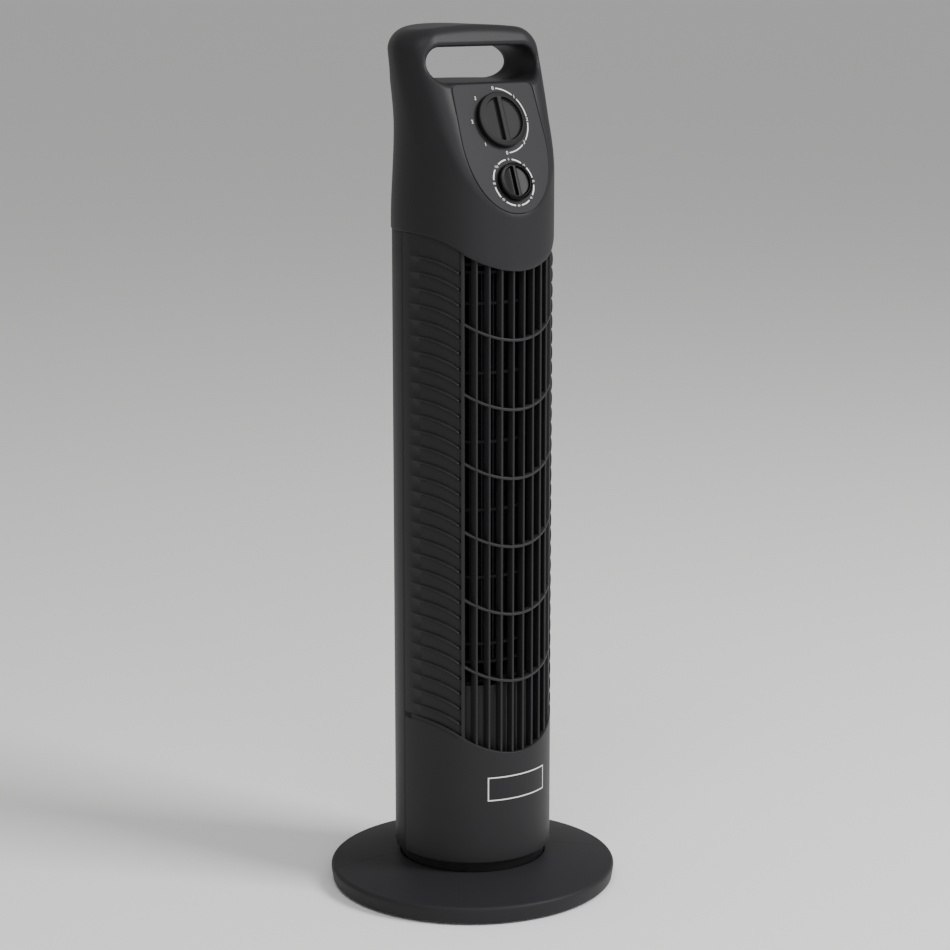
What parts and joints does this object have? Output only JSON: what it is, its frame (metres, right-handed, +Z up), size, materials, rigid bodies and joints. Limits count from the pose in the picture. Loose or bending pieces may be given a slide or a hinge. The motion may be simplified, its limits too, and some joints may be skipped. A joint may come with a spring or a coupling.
{
  "type": "tower fan",
  "caption": "Round tower fan with a grip opening in its head, a sloping panel of rotary knobs, a curved front grille with ribbed sides, and a swinging column on a split oval base.",
  "frame": {"origin": "on the floor, on the axis that the column swings about", "axes": "+Z up; the front of the column (grille and knobs) faces -Y at rest; +X is to the right for a viewer in front who looks along +Y"},
  "size_m": [0.247, 0.2432, 0.738],
  "materials": {
    "charcoal_abs": "fine satin texture, charcoal",
    "inner_black_abs": "plain moulded black",
    "panel_grey_abs": "fine texture, mid grey with white printing",
    "knob_black_abs": "smooth satin black",
    "gloss_black_abs": "polished black",
    "rubber": "matt black rubber",
    "steel": "zinc plated",
    "iron_laminations": "stacked laminations, varnished",
    "sintered_bronze": "oiled sintered bronze",
    "white_acetal": "natural white"
  },
  "bodies": {
    "base": {"base_front_half": "charcoal_abs", "base_rear_half": "charcoal_abs", "base_foot_0": "rubber", "base_foot_1": "rubber", "base_foot_2": "rubber", "base_foot_3": "rubber", "base_foot_4": "rubber", "base_foot_5": "rubber", "base_foot_6": "rubber", "base_foot_7": "rubber", "base_screw_0": "steel", "base_screw_1": "steel", "base_screw_2": "steel", "base_screw_3": "steel", "swivel_pedestal": "inner_black_abs", "thrust_ring": "white_acetal", "retaining_collar": "steel"},
    "tower": {"swivel_plate": "inner_black_abs", "swing_motor": "steel", "front_housing": "charcoal_abs", "rear_housing": "charcoal_abs", "housing_screw_0": "steel", "housing_screw_1": "steel", "housing_screw_2": "steel", "housing_screw_3": "steel", "housing_screw_4": "steel", "housing_screw_5": "steel", "cord_gland": "rubber", "front_grille": "charcoal_abs", "blanking_plate": "inner_black_abs", "head_shell": "charcoal_abs", "control_panel": "panel_grey_abs", "rotary_switch": "white_acetal", "timer_unit": "steel", "motor_stator": "iron_laminations", "motor_lower_bracket": "steel", "motor_upper_bracket": "steel", "motor_lower_bush": "sintered_bronze", "motor_upper_bush": "sintered_bronze", "motor_deck": "inner_black_abs", "top_bush": "sintered_bronze", "top_bearing_bracket": "inner_black_abs", "air_guide": "inner_black_abs", "air_tongue": "inner_black_abs"},
    "swing_crank": {"swing_crank": "white_acetal"},
    "impeller": {"impeller": "inner_black_abs", "shaft_coupling": "inner_black_abs", "motor_shaft": "steel", "motor_rotor": "iron_laminations", "impeller_stub": "steel"},
    "speed_knob": {"speed_knob": "knob_black_abs", "speed_spindle": "steel"},
    "timer_knob": {"timer_knob": "gloss_black_abs", "timer_spindle": "steel"}
  },
  "joints": [
    {"name": "tower_swing", "type": "hinge", "parent": "base", "child": "tower", "pos_m": [0, 0, 0.03], "axis": [0, 0, 1], "range_deg": [-60.7, 14.3]},
    {"name": "crank_turn", "type": "hinge", "parent": "tower", "child": "swing_crank", "pos_m": [0, 0.034, 0.03], "axis": [0, 0, 1], "range_deg": [-42, 176.5]},
    {"name": "impeller_spin", "type": "hinge", "parent": "tower", "child": "impeller", "pos_m": [0, 0, 0.2], "axis": [0, 0, 1], "continuous": true},
    {"name": "speed_turn", "type": "hinge", "parent": "tower", "child": "speed_knob", "pos_m": [0, -0.03832, 0.66145], "axis": [0, -0.9298, 0.3681], "continuous": true},
    {"name": "timer_turn", "type": "hinge", "parent": "tower", "child": "timer_knob", "pos_m": [0, -0.05768, 0.61255], "axis": [0, -0.9298, 0.3681], "range_deg": [-300, 0]}
  ],
  "couplings": [
    {"joint": "crank_turn", "follows": "tower_swing", "ratio": -2.9}
  ]
}
